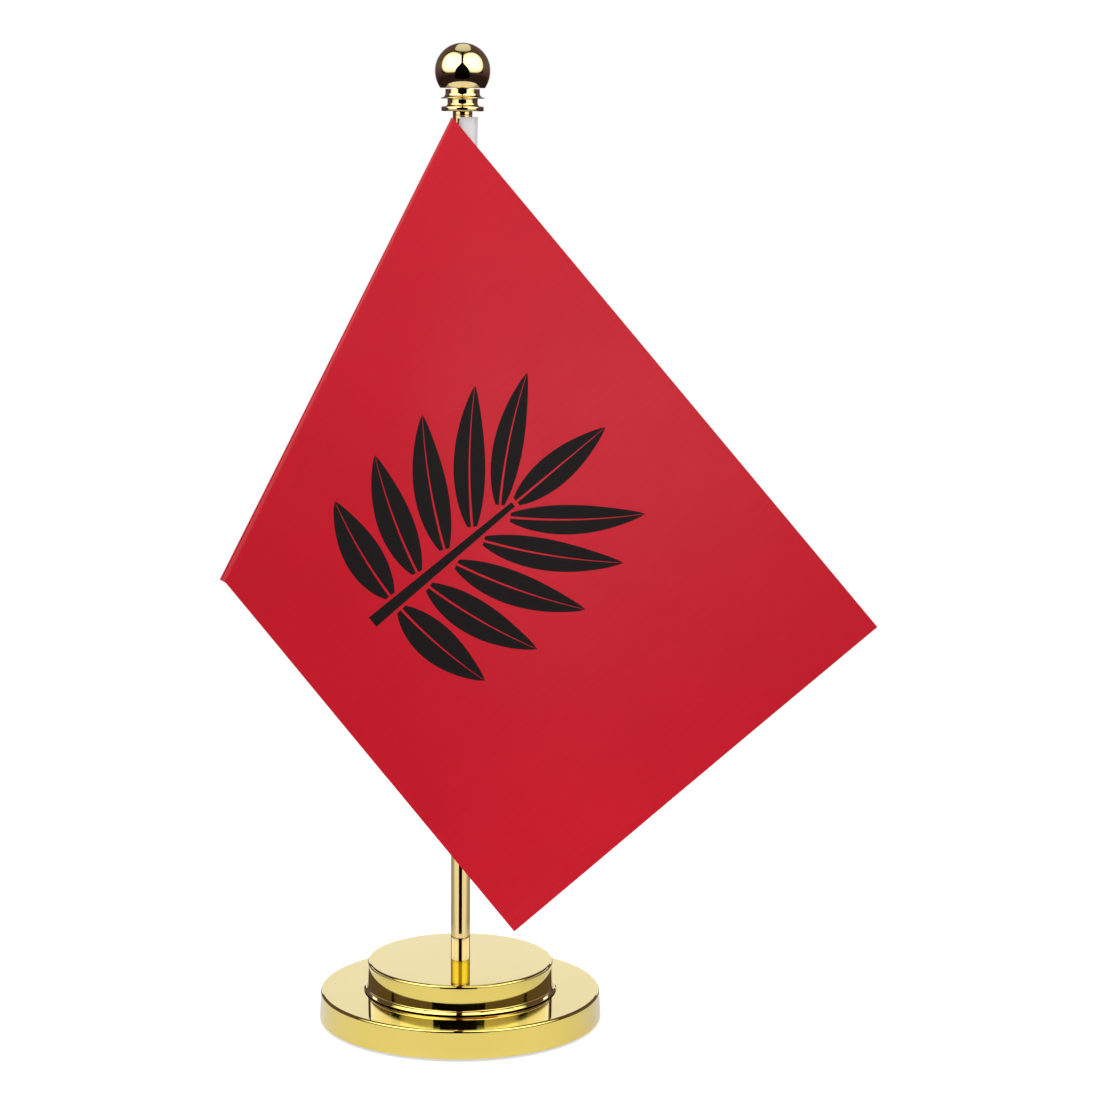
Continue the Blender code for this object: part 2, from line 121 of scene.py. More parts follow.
# Colours, each in two close shades that the surface varies between, and the gold's range of roughness
GOLD_ROUGHNESS = (0.03, 0.065)
BASE_GOLD = ((0.83, 0.66, 0.14), (0.80, 0.63, 0.115))
POLE_GOLD = ((0.92, 0.70, 0.28), (0.89, 0.665, 0.25))
FINIAL_GOLD = ((0.86, 0.70, 0.30), (0.82, 0.66, 0.27))
ZINC = ((0.63, 0.64, 0.66), (0.50, 0.51, 0.54))
SPRING_STEEL = ((0.42, 0.42, 0.44), (0.33, 0.33, 0.35))
BRASS = ((0.80, 0.60, 0.27), (0.68, 0.49, 0.20))
CAST_IRON = ((0.17, 0.17, 0.18), (0.10, 0.10, 0.11))
NYLON = ((0.78, 0.77, 0.72), (0.70, 0.69, 0.64))
FOAM = ((0.030, 0.030, 0.032), (0.012, 0.012, 0.013))
RUBBER = ((0.035, 0.035, 0.036), (0.02, 0.02, 0.021))
SEWING_THREAD = ((0.82, 0.82, 0.80), (0.70, 0.70, 0.68))
WHITE_SATIN = ((0.80, 0.80, 0.80), (0.74, 0.74, 0.75))
RED_SATIN = ((0.525, 0.0075, 0.0205), (0.49, 0.0062, 0.0178))
BLACK_PRINT = ((0.0055, 0.0032, 0.0036), (0.0045, 0.0025, 0.0028))

# Grain: how far noise is stretched in x, y and z, or along and across flat cloth
HAIRLINES = (60.0, 60.0, 2200.0)
TURNED_GRAIN = (90.0, 90.0, 5000.0)
YARN_STREAKS = (900.0, 60.0, 1.0)

# The satin's ribs: their direction, scale and strength
WEAVE = (("X", 1600.0, 0.12), ("Y", 640.0, 0.06))

# Turned metal: a round softens an outer edge, and a fillet an inner corner
FINE_STEPS = 192
SMALL_STEPS = 96
DEGREES_PER_FACET = 7.0
SUPPORT = 0.00012
ON_AXIS = 0.000001
METAL_SHARP = 32.0
HUB_HOLE_RADIUS = 0.0024
TIER_WALL = 0.0007
TIER_ROUND = 0.0009
HEM_ROUND = 0.0003
LOWER_TAPER = 0.0004
UPPER_TAPER = 0.0002
LIP_COVE = 0.0011
LIP_FILLET = 0.0004
LIP_ROUND = 0.0001
LIP_SHOULDER = 0.0008
LIP_EDGE = 0.00016
LIP_OVERHANG = 0.0011
LIP_SLOPE_WIDTH = 0.00058
POLE_WALL = 0.00055
POLE_GAP = 0.00002
POLE_ROUND = 0.0002
POLE_BORE_ROUND = 0.0001
FINIAL_BORE = 0.00225
BALL_WALL = 0.0008
BALL_OUTER_STEPS = 60
BALL_INNER_STEPS = 24
BALL_RIM_ANGLE = 1.5
BALL_RIM_WIDTH = 0.00012
BALL_RIM_HEIGHT = 0.00005
WASHER_ROUND = 0.00012
PAD_ROUND = 0.0002
RING_CLEARANCE = 0.0001
RING_SOFTNESS = 0.35
RING_ROUND = 0.0002

# Neck of the finial, heights measured up from its flange's underside
NECK_FLANGE_TOP = 0.00155
NECK_COLLAR_BOTTOM = 0.00395
NECK_COLLAR_TOP = 0.00435
NECK_LOWER_RADIUS = 0.0049
NECK_UPPER_RADIUS = 0.0056
NECK_FLANGE_RADIUS = 0.0069
NECK_UPPER_FILLET = 0.0012
NECK_COLLAR_ROUND = 0.00012
NECK_COLLAR_FILLET = 0.0003
NECK_FLANGE_FILLET = 0.0009
NECK_FLANGE_ROUND = 0.0005

# Screws: their threads, chamfered ends and the bolt's head
SCREW_STEPS = 48
THREAD_PITCH = 0.0007
THREAD_DEPTH = 0.00022
THREAD_RINGS = 8
THREAD_SLOPE = 1.3
THREAD_CREST = 0.15
SCREW_CHAMFER = 0.0004
BOLT_HEAD_RADIUS = 0.0040
BOLT_HEAD_HEIGHT = 0.0024
BOLT_SEAT_ROUND = 0.0002
BOLT_HEAD_ROUND = 0.0010

# The flag: its front panel hangs from the apex beside the pole and folds back round to the sleeve
TOP_EDGE = 0.2100
FLY_EDGE = 0.1500
BOTTOM_EDGE = 0.1452
APEX_OFFSET = Vector((-0.0033, -0.0056, -0.0003))
PANEL_SLOPE = math.radians(49.7)
PANEL_LEAN = math.radians(8.0)
PANEL_TURN = math.radians(0.4)
FOLD_RADIUS_TOP = 0.0007
FOLD_RADIUS_BOTTOM = 0.0022
SEAM_ANGLE_TOP = math.radians(232)
SEAM_ANGLE_BOTTOM = math.radians(180)
SEAM_CLEARANCE = 0.0009
SATIN_THICKNESS = 0.00024
CLOTH_SHARP = 80.0
CLOTH_ROWS = 75
PANEL_COLUMNS = 100
BEND_STEPS = 12
FLAP_STEPS = 26
FLAP_SAG = 0.0016

# Waves that fan out from the apex and fade beside the fold: size, rate round the apex, lag outwards, start
WAVE_HEIGHT = 0.0007
WAVE_FADE = 6.0
WAVES = ((1.0, 5.2, 0.0, 0.6), (0.45, 9.5, 3.0, 1.9))

# The printed spray of leaves, in its own plane: across, and up along the stem
SPRAY_CENTRE = (0.1062, 0.0735)
STEM_FOOT = -0.0480
STEM_TIP = 0.0100
STEM_WIDTH_FOOT = 0.0038
STEM_WIDTH_TIP = 0.0018
STEM_SPACING = 0.002
LOWEST_LEAF = -0.0385
HIGHEST_LEAF = 0.0052
LEAF_FOOT = 0.0011
LEAF_POINTS = 22
LEAF_BELLY = 0.85
LEAF_BLUNTNESS = 0.8
LEAF_RISE = (2.0, 44.0)
LEAF_BEND = math.radians(14)
LEAF_LENGTHS = (0.0365, 0.0415, 0.0455, 0.0470, 0.0450)
LEAF_WIDTHS = (0.0120, 0.0094)
LAST_LEAF = (0.0385, 0.0102)
LAST_LEAF_OVERLAP = 0.0004
MIDRIB_GAP = 0.0007
MIDRIB_TAPER = 1.15
PRINT_CLEARANCE = 0.0007
TRIANGLE_TOLERANCE = 1e-7

# Sleeve and stitches. A wrinkle has a height, a number of waves round the sleeve, and a twist down it.
SLEEVE_STEPS = 96
SLEEVE_ROUNDS = 100
SLEEVE_WALL = 0.00028
SLEEVE_INSET = 0.0002
WRINKLES = ((0.00016, 7, 9), (0.00012, 4, -23))
SLEEVE_RIM_DROP = 0.0036
SLEEVE_RIM_SLANT = 0.0006
SLEEVE_RIM_MIDDLE = -0.0011
SLEEVE_RIM_FADE = 12
STITCHES_FROM = 0.06
STITCHES_TO = 0.97
STITCH_STEPS = 6
STITCH_SHARP = 60.0
STITCH_LENGTH = 0.0021
STITCH_GAP = 0.0007
STITCH_RADIUS = 0.00018
STITCH_INSET = 0.0012
STITCH_RISE = 1.9
STITCH_DIP = 0.6
SEAM_STEP = 0.01

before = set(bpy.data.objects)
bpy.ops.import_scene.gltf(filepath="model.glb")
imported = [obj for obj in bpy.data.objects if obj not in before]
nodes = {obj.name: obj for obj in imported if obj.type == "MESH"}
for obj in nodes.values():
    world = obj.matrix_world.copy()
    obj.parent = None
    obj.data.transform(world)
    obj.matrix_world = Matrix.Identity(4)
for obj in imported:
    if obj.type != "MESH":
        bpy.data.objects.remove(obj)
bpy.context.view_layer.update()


# -------------------- materials

def new_material(name):
    made = bpy.data.materials.new(name)
    made.use_nodes = True
    return made, made.node_tree, made.node_tree.nodes["Principled BSDF"]


def feed(tree, socket, value):
    """Give an input socket another node's output, a colour or a plain value."""
    if isinstance(value, bpy.types.NodeSocket):
        tree.links.new(value, socket)
    elif socket.type == "RGBA":
        socket.default_value = (*value, 1.0)
    else:
        socket.default_value = value


def set_inputs(tree, node, values):
    for name, value in values.items():
        feed(tree, node.inputs[name], value)


def add(tree, kind, **values):
    """A new node; names that the node has are set on it, and the rest are its input sockets."""
    node = tree.nodes.new(kind)
    for key, value in values.items():
        if hasattr(node, key):
            setattr(node, key, value)
        else:
            feed(tree, node.inputs[key.replace("_", " ").title()], value)
    return node


def worked_out(tree, operation, *values):
    """The result of a sum on numbers and on the outputs of other nodes."""
    node = add(tree, "ShaderNodeMath", operation=operation)
    for socket, value in zip(node.inputs, values):
        feed(tree, socket, value)
    return node.outputs["Value"]


def object_coordinates(tree, scale=(1.0, 1.0, 1.0)):
    """Object coordinates stretched by a scale, in metres."""
    place = add(tree, "ShaderNodeTexCoord").outputs["Object"]
    return add(tree, "ShaderNodeMapping", Vector=place, Scale=scale).outputs["Vector"]


def noise_value(tree, vector, scale, detail, roughness=0.55):
    node = add(tree, "ShaderNodeTexNoise", Vector=vector, Scale=scale, Detail=detail, Roughness=roughness)
    return node.outputs["Fac"]


def remap(tree, value, low, high, from_low=0.3, from_high=0.7):
    """The value's middle range spread over low to high."""
    node = add(tree, "ShaderNodeMapRange", Value=value, From_Min=from_low, From_Max=from_high,
               To_Min=low, To_Max=high)
    return node.outputs["Result"]


def mix_colors(tree, share, first, second):
    """Two colours mixed: inputs 6 and 7 and output 2 of a Mix node are its colours."""
    node = add(tree, "ShaderNodeMix", data_type="RGBA", Factor=share)
    feed(tree, node.inputs[6], first)
    feed(tree, node.inputs[7], second)
    return node.outputs[2]


def bump(tree, height, strength, distance, below=None):
    node = add(tree, "ShaderNodeBump", Height=height, Strength=strength, Distance=distance)
    if below is not None:
        feed(tree, node.inputs["Normal"], below)
    return node.outputs["Normal"]


def gold_material(name, light, dark):
    """Lacquered gold plate: faint pressing waves, hairlines, and a haze where fingers have been."""
    made, tree, shader = new_material(name)
    place = object_coordinates(tree)
    haze = noise_value(tree, place, scale=45.0, detail=5.0, roughness=0.6)
    hairs = noise_value(tree, object_coordinates(tree, HAIRLINES), scale=1.0, detail=2.0)
    waves = noise_value(tree, place, scale=28.0, detail=1.0)
    waves = bump(tree, waves, strength=0.10, distance=0.00035)
    set_inputs(tree, shader, {
        "Base Color": mix_colors(tree, remap(tree, haze, 0.0, 1.0), light, dark),
        "Roughness": remap(tree, haze, *GOLD_ROUGHNESS),
        "Normal": bump(tree, hairs, strength=0.02, distance=0.00002, below=waves),
        "Metallic": 1.0, "Coat Weight": 1.0, "Coat Roughness": 0.02, "Coat IOR": 1.5,
    })
    return made


def metal_material(name, light, dark, roughness):
    """Bare machined or plated metal with a turned grain and slightly dulled patches."""
    made, tree, shader = new_material(name)
    patches = noise_value(tree, object_coordinates(tree), scale=320.0, detail=4.0)
    lines = noise_value(tree, object_coordinates(tree, TURNED_GRAIN), scale=1.0, detail=2.0)
    set_inputs(tree, shader, {
        "Base Color": mix_colors(tree, remap(tree, patches, 0.0, 1.0), light, dark),
        "Roughness": remap(tree, patches, roughness, roughness + 0.16),
        "Normal": bump(tree, lines, strength=0.25, distance=0.00004), "Metallic": 1.0,
    })
    return made


def rough_material(name, light, dark, roughness, scale, depth):
    """Foam, rubber, moulded plastic, cast iron or thread: a matt, pitted surface."""
    made, tree, shader = new_material(name)
    grains = noise_value(tree, object_coordinates(tree), scale, detail=4.0, roughness=0.65)
    set_inputs(tree, shader, {
        "Base Color": mix_colors(tree, remap(tree, grains, 0.0, 1.0), light, dark),
        "Roughness": remap(tree, grains, roughness - 0.08, roughness + 0.08),
        "Normal": bump(tree, grains, strength=0.5, distance=depth),
    })
    return made


def satin_material(name, light, dark, roughness, sheen, gloss):
    """Woven satin: threads along and across the flat cloth, with streaks of slightly uneven yarn."""
    made, tree, shader = new_material(name)
    cloth = add(tree, "ShaderNodeUVMap", uv_map="flat").outputs["UV"]
    streaks = add(tree, "ShaderNodeMapping", Vector=cloth, Scale=YARN_STREAKS).outputs["Vector"]
    yarn = noise_value(tree, streaks, scale=1.0, detail=3.0)
    patches = noise_value(tree, cloth, scale=22.0, detail=2.0)
    share = remap(tree, worked_out(tree, "ADD", yarn, patches), 0.0, 1.0, from_low=0.75, from_high=1.25)
    weave = None
    for axis, scale, strength in WEAVE:
        wave = add(tree, "ShaderNodeTexWave", bands_direction=axis, Vector=cloth, Scale=scale,
                   Distortion=0.6, Detail_Scale=2.0)
        weave = bump(tree, wave.outputs["Fac"], strength, distance=0.00003, below=weave)
    set_inputs(tree, shader, {
        "Base Color": mix_colors(tree, share, light, dark), "Normal": weave,
        "Roughness": remap(tree, yarn, roughness - 0.03, roughness + 0.03),
        "Sheen Weight": sheen, "Sheen Roughness": 0.4, "Specular IOR Level": gloss,
    })
    return made


# -------------------- turned pieces

def rounded(corners, closed):
    """A profile through (r, z, radius) corners, each rounded by an arc of its radius.

    A support point just outside each arc keeps the flat faces beside it flat when they are shaded.
    """
    count = len(corners)
    profile = []
    for i, (r, z, radius) in enumerate(corners):
        here = Vector((r, z))
        if radius == 0.0 or (not closed and i in (0, count - 1)):
            profile.append(here)
            continue
        before = Vector(corners[i - 1][:2]) - here
        after = Vector(corners[(i + 1) % count][:2]) - here
        half = before.angle(after) / 2
        reach = radius / math.tan(half)
        before.normalize()
        after.normalize()
        centre = here + (before + after).normalized() * radius / math.sin(half)
        start = here + before * reach - centre
        turn = math.pi - 2 * half
        side = 1.0 if before.cross(after) < 0.0 else -1.0
        steps = max(2, round(math.degrees(turn) / DEGREES_PER_FACET))
        profile.append(here + before * (reach + SUPPORT))
        for step in range(steps + 1):
            angle = side * turn * step / steps
            cos, sin = math.cos(angle), math.sin(angle)
            arm = Vector((start.x * cos - start.y * sin, start.x * sin + start.y * cos))
            profile.append(centre + arm)
        profile.append(here + after * (reach + SUPPORT))
    return profile


def turned(name, profile, steps, closed, radius_at=None):
    """Turn a profile, which runs down the outer side, round the Z axis; radius_at can vary a radius."""
    points = []
    rings = []
    for r, z in profile:
        size = steps if r > ON_AXIS else 1
        rings.append((len(points), size))
        for i in range(size):
            angle = 2 * math.pi * i / steps
            radius = radius_at(r, z, angle) if radius_at else r
            points.append((radius * math.cos(angle), radius * math.sin(angle), z))
    faces = []
    pairs = list(zip(rings, rings[1:])) + ([(rings[-1], rings[0])] if closed else [])
    for (upper, upper_size), (lower, lower_size) in pairs:
        for i in range(steps):
            j = (i + 1) % steps
            if upper_size == 1:
                faces.append((upper, lower + i, lower + j))
            elif lower_size == 1:
                faces.append((upper + j, upper + i, lower))
            else:
                faces.append((upper + i, lower + i, lower + j, upper + j))
    mesh = bpy.data.meshes.new(name)
    mesh.from_pydata(points, [], faces)
    return add_piece(name, mesh)


def add_piece(name, mesh, sharp=METAL_SHARP):
    piece = bpy.data.objects.new(name, mesh)
    bpy.context.scene.collection.objects.link(piece)
    mesh.shade_smooth()
    mesh.set_sharp_from_angle(angle=math.radians(sharp))
    return piece


def stand_for(piece, node, look, body):
    """Show this piece instead of a CAD node of that name, with its look, on its body."""
    piece.data.materials.append(look)
    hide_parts(node)
    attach(piece, body)


def lathe(name, node, corners, steps, look, body, closed=True):
    """A turned piece with rounded corners that stands for a CAD node."""
    piece = turned(name, rounded(corners, closed), steps, closed)
    stand_for(piece, node, look, body)
    return piece


def circle(centre, radius, start, end, steps):
    """Points of an arc in the (r, z) plane, angles in degrees from +r towards +z."""
    points = []
    for i in range(steps + 1):
        angle = math.radians(start + (end - start) * i / steps)
        points.append(Vector((centre[0] + radius * math.cos(angle), centre[1] + radius * math.sin(angle))))
    return points


def build_lower_tier(look):
    low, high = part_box("lower_tier_shell")
    foot = high.x
    top = foot - LOWER_TAPER
    corners = [
        (HUB_HOLE_RADIUS, high.z, 0.0), (top, high.z, TIER_ROUND), (foot, low.z, HEM_ROUND),
        (foot - TIER_WALL, low.z, 0.0), (top - TIER_WALL, high.z - TIER_WALL, TIER_ROUND - HEM_ROUND),
        (HUB_HOLE_RADIUS, high.z - TIER_WALL, 0.0),
    ]
    lathe("lower_tier_fine", "lower_tier_shell", corners, FINE_STEPS, look, "base")


def build_upper_tier(look):
    """The smaller cup, whose foot flares through a small cove into a thin sloping lip."""
    low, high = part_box("upper_tier_shell")
    lip = high.x
    waist = lip - LIP_OVERHANG
    top = waist - UPPER_TAPER
    corners = [
        (HUB_HOLE_RADIUS, high.z, 0.0), (top, high.z, TIER_ROUND), (waist, low.z + LIP_COVE, LIP_FILLET),
        (lip - LIP_SLOPE_WIDTH, low.z + LIP_SHOULDER, LIP_FILLET), (lip, low.z + LIP_EDGE, LIP_ROUND),
        (lip, low.z, 0.0), (waist - TIER_WALL, low.z, 0.0),
        (top - TIER_WALL, high.z - TIER_WALL, TIER_ROUND - HEM_ROUND),
        (HUB_HOLE_RADIUS, high.z - TIER_WALL, 0.0),
    ]
    return lathe("upper_tier_fine", "upper_tier_shell", corners, FINE_STEPS, look, "base")


def build_pole(look):
    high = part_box("pole_tube")[1]
    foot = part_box("upper_tier_shell")[1].z + POLE_GAP
    bore = high.x - POLE_WALL
    corners = [(high.x, high.z, POLE_ROUND), (high.x, foot, 0.0), (bore, foot, 0.0),
               (bore, high.z, POLE_BORE_ROUND)]
    return lathe("pole_fine", "pole_tube", corners, SMALL_STEPS, look, "pole")


def build_neck(look):
    """Flange, hollowed neck, sharp collar and the upper neck under the ball."""
    low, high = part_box("finial_neck")
    collar = high.x
    corners = [
        (NECK_UPPER_RADIUS, high.z, 0.0), (NECK_UPPER_RADIUS, low.z + NECK_COLLAR_TOP, NECK_UPPER_FILLET),
        (collar, low.z + NECK_COLLAR_TOP, NECK_COLLAR_ROUND),
        (collar, low.z + NECK_COLLAR_BOTTOM, NECK_COLLAR_ROUND),
        (NECK_LOWER_RADIUS, low.z + NECK_COLLAR_BOTTOM, NECK_COLLAR_FILLET),
        (NECK_LOWER_RADIUS, low.z + NECK_FLANGE_TOP, NECK_FLANGE_FILLET),
        (NECK_FLANGE_RADIUS, low.z + NECK_FLANGE_TOP, NECK_FLANGE_ROUND),
        (NECK_FLANGE_RADIUS, low.z, NECK_FLANGE_ROUND), (FINIAL_BORE, low.z, 0.0),
        (FINIAL_BORE, high.z, 0.0),
    ]
    lathe("finial_neck_fine", "finial_neck", corners, SMALL_STEPS, look, "finial")


def build_finial_washer(look):
    """The washer that fills the joint between the pole's top and the finial's flange."""
    pole_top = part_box("pole_tube")[1]
    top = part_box("finial_neck")[0].z
    corners = [(pole_top.x, top, WASHER_ROUND), (pole_top.x, pole_top.z, WASHER_ROUND),
               (FINIAL_BORE, pole_top.z, 0.0), (FINIAL_BORE, top, 0.0)]
    lathe("finial_washer_fine", "finial_washer", corners, SMALL_STEPS, look, "pole")


def build_ball(look):
    """A hollow ball, cut flat below, with a softened rim round the cut."""
    low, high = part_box("finial_ball")
    radius = (high.x - low.x) / 2
    centre = high.z - radius
    cut = math.degrees(math.asin((centre - low.z) / radius))
    inner = radius - BALL_WALL
    inner_cut = math.degrees(math.asin((centre - low.z - BALL_WALL) / inner))
    outside = circle((0.0, centre), radius, 90, -cut + BALL_RIM_ANGLE, BALL_OUTER_STEPS)
    outside[0] = Vector((0.0, high.z))
    rim = radius * math.cos(math.radians(cut))
    profile = outside + [Vector((rim, low.z + BALL_RIM_HEIGHT)), Vector((rim - BALL_RIM_WIDTH, low.z))]
    profile += [Vector((FINIAL_BORE, low.z)), Vector((FINIAL_BORE, low.z + BALL_WALL))]
    inside = circle((0.0, centre), inner, -inner_cut, 90, BALL_INNER_STEPS)
    inside[-1] = Vector((0.0, centre + inner))
    ball = turned("finial_ball_fine", profile + inside, FINE_STEPS, False)
    stand_for(ball, "finial_ball", look, "finial")


def build_pad(look):
    low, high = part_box("base_pad")
    corners = [(0.0, high.z, 0.0), (high.x, high.z, PAD_ROUND), (high.x, low.z, PAD_ROUND),
               (0.0, low.z, 0.0)]
    lathe("base_pad_fine", "base_pad", corners, FINE_STEPS, look, "base", closed=False)


def build_stop_ring(look):
    low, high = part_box("stop_ring")
    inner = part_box("pole_tube")[1].x + RING_CLEARANCE
    soft = (high.z - low.z) * RING_SOFTNESS
    corners = [(high.x, high.z, soft), (high.x, low.z, soft), (inner, low.z, RING_ROUND),
               (inner, high.z, RING_ROUND)]
    lathe("stop_ring_fine", "stop_ring", corners, SMALL_STEPS, look, "stop_ring")


def thread_radius(crest):
    """A function that gives a thread's radius at a height and an angle, on a shank of this crest radius."""
    def radius_at(r, z, angle):
        if r < crest:
            return r
        phase = (z / THREAD_PITCH - angle / (2 * math.pi)) % 1.0
        flank = abs(phase - 0.5) * 2
        depth = THREAD_DEPTH * (flank * THREAD_SLOPE - THREAD_CREST)
        return min(crest, max(crest - THREAD_DEPTH, crest - depth))
    return radius_at


def shank(top, bottom, crest):
    """Profile points down a shank, close enough together to carry the thread."""
    count = round((top - bottom) / THREAD_PITCH * THREAD_RINGS)
    return [Vector((crest, top + (bottom - top) * i / count)) for i in range(count + 1)]


def build_screws(look):
    """The bolt up through the base, and the stud that holds the finial."""
    low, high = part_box("finial_stud")
    crest = high.x
    profile = [Vector((0.0, high.z)), Vector((crest - SCREW_CHAMFER, high.z))]
    profile += shank(high.z - SCREW_CHAMFER, low.z + SCREW_CHAMFER, crest)
    profile += [Vector((crest - SCREW_CHAMFER, low.z)), Vector((0.0, low.z))]
    stud = turned("finial_stud_fine", profile, SCREW_STEPS, False, thread_radius(crest))
    stand_for(stud, "finial_stud", look, "finial_screw")
    low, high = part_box("base_bolt")
    seat = low.z + BOLT_HEAD_HEIGHT
    profile = [Vector((0.0, high.z)), Vector((crest - SCREW_CHAMFER, high.z))]
    profile += shank(high.z - SCREW_CHAMFER, seat + THREAD_PITCH / THREAD_RINGS, crest)
    head = [(crest - THREAD_DEPTH, seat, 0.0), (BOLT_HEAD_RADIUS, seat, BOLT_SEAT_ROUND),
            (BOLT_HEAD_RADIUS, low.z, BOLT_HEAD_ROUND), (0.0, low.z, 0.0)]

    def plain_head(r, z, angle):
        return r if z <= seat else thread_radius(crest)(r, z, angle)

    bolt = turned("base_bolt_fine", profile + rounded(head, False), SCREW_STEPS, False, plain_head)
    stand_for(bolt, "base_bolt", look, "base")


# -------------------- the flag's shape

def panel_axes():
    """Unit vectors in the front panel: along the top edge, down the fly edge, and backwards out of it."""
    tilt = Matrix.Rotation(PANEL_TURN, 3, "Z") @ Matrix.Rotation(-PANEL_LEAN, 3, "X")
    across = tilt @ Vector((1.0, 0.0, 0.0))
    up = tilt @ Vector((0.0, 0.0, 1.0))
    back = tilt @ Vector((0.0, 1.0, 0.0))
    along_top = across * math.cos(PANEL_SLOPE) - up * math.sin(PANEL_SLOPE)
    down_fly = -across * math.sin(PANEL_SLOPE) - up * math.cos(PANEL_SLOPE)
    return along_top, down_fly, back


SLEEVE_LOW, SLEEVE_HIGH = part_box("flag_sleeve")
APEX = Vector((0.0, 0.0, SLEEVE_HIGH.z)) + APEX_OFFSET
ALONG_TOP, DOWN_FLY, BACK = panel_axes()
FOLD_FOOT = Vector((TOP_EDGE - BOTTOM_EDGE, FLY_EDGE))
FOLD_LINE = FOLD_FOOT.normalized()
INTO_PANEL = Vector((FOLD_LINE.y, -FOLD_LINE.x))


def smooth(share):
    """A share from 0 to 1 that starts and ends gently."""
    return share * share * (3 - 2 * share)


def fold_radius(share):
    return FOLD_RADIUS_TOP + (FOLD_RADIUS_BOTTOM - FOLD_RADIUS_TOP) * share


def panel_start(share):
    """Where the flat panel starts beside the fold, in the flat cloth's own plane."""
    return FOLD_FOOT * share + INTO_PANEL * fold_radius(share)


def panel_point(flat, share_in):
    """A point of the front panel in space: its flat place, lifted by shallow waves."""
    reach = flat.length / TOP_EDGE
    spread = math.atan2(flat.y, flat.x)
    calm = smooth(min(1.0, share_in * WAVE_FADE))
    wave = sum(size * math.sin(spread * rate + reach * lag + start) for size, rate, lag, start in WAVES)
    lift = WAVE_HEIGHT * calm * reach * wave
    return APEX + ALONG_TOP * flat.x + DOWN_FLY * flat.y + BACK * lift


def seam_point(share):
    """A point of the line where the cloth meets the sleeve, share 0 at the top and 1 at the bottom."""
    angle = SEAM_ANGLE_TOP + (SEAM_ANGLE_BOTTOM - SEAM_ANGLE_TOP) * share
    x = (SLEEVE_HIGH.x + SEAM_CLEARANCE) * math.cos(angle)
    y = (SLEEVE_HIGH.y + SEAM_CLEARANCE) * math.sin(angle)
    return Vector((x, y, APEX.z - (APEX.z - SLEEVE_LOW.z) * share))


def fold_points(share):
    """The cloth from the seam to the panel: the flap behind it, then half a turn round the fold."""
    into = ALONG_TOP * INTO_PANEL.x + DOWN_FLY * INTO_PANEL.y
    radius = fold_radius(share)
    edge = APEX + ALONG_TOP * FOLD_FOOT.x * share + DOWN_FLY * FOLD_FOOT.y * share
    centre = edge + into * radius + BACK * radius
    bend = []
    for i in range(BEND_STEPS + 1):
        angle = math.pi * i / BEND_STEPS
        bend.append(centre + BACK * radius * math.cos(angle) - into * radius * math.sin(angle))
    seam = seam_point(share)
    flap = []
    for i in range(FLAP_STEPS):
        along = i / FLAP_STEPS
        sag = BACK * (share * FLAP_SAG * math.sin(math.pi * smooth(along)))
        flap.append(seam.lerp(bend[0], along) + sag)
    return flap + bend


# -------------------- the printed spray

def leaf_halves(base, heading, length, width, bend):
    """The two halves of a leaf, as outlines either side of a bare midrib that narrows to the tip."""
    line = []
    step = length / LEAF_POINTS
    place = base.copy()
    angle = heading
    for i in range(LEAF_POINTS + 1):
        share = i / LEAF_POINTS
        line.append((place.copy(), Vector((-math.sin(angle), math.cos(angle))), share))
        angle += bend / LEAF_POINTS
        place += Vector((math.cos(angle), math.sin(angle))) * step
    halves = []
    for side in (1.0, -1.0):
        rib = []
        rim = []
        for point, across, share in line[1:-1]:
            half_width = width / 2 * math.sin(math.pi * share ** LEAF_BELLY) ** LEAF_BLUNTNESS
            half_gap = min(MIDRIB_GAP / 2 * (MIDRIB_TAPER - share), half_width / 2)
            rib.append(point + across * side * half_gap)
            rim.append(point + across * side * half_width)
        halves.append(rib + [line[-1][0]] + rim[::-1])
    return halves


def spray_outlines():
    """The stem, pairs of leaves that rise more steeply towards the tip, and a last leaf on the tip."""
    foot, tip = STEM_WIDTH_FOOT / 2, STEM_WIDTH_TIP / 2
    corners = ((-foot, STEM_FOOT), (foot, STEM_FOOT), (tip, STEM_TIP), (-tip, STEM_TIP))
    outlines = [subdivided([Vector(corner) for corner in corners], STEM_SPACING)]
    for i, length in enumerate(LEAF_LENGTHS):
        share = i / (len(LEAF_LENGTHS) - 1)
        base = Vector((LEAF_FOOT, LOWEST_LEAF + (HIGHEST_LEAF - LOWEST_LEAF) * share))
        rise = math.radians(LEAF_RISE[0] + (LEAF_RISE[1] - LEAF_RISE[0]) * share)
        width = LEAF_WIDTHS[0] + (LEAF_WIDTHS[1] - LEAF_WIDTHS[0]) * share
        for half in leaf_halves(base, rise, length, width, LEAF_BEND):
            outlines.append(half)
            outlines.append([Vector((-p.x, p.y)) for p in half][::-1])
    outlines += leaf_halves(Vector((0.0, STEM_TIP - LAST_LEAF_OVERLAP)), math.radians(90), *LAST_LEAF, 0.0)
    return outlines


def subdivided(outline, spacing):
    points = []
    for start, end in zip(outline, outline[1:] + outline[:1]):
        count = max(1, math.ceil((end - start).length / spacing))
        points += [start.lerp(end, i / count) for i in range(count)]
    return points


def print_outlines():
    """The spray's outlines on the flat cloth, with its stem parallel to the fly edge."""
    centre = Vector(SPRAY_CENTRE)
    return [[Vector((centre.x + p.x, centre.y - p.y)) for p in outline] for outline in spray_outlines()]


# -------------------- the flag's mesh

def finder(points):
    """A search tree for the nearest of these flat points."""
    tree = kdtree.KDTree(len(points))
    for i, point in enumerate(points):
        tree.insert(point.to_3d(), i)
    tree.balance()
    return tree


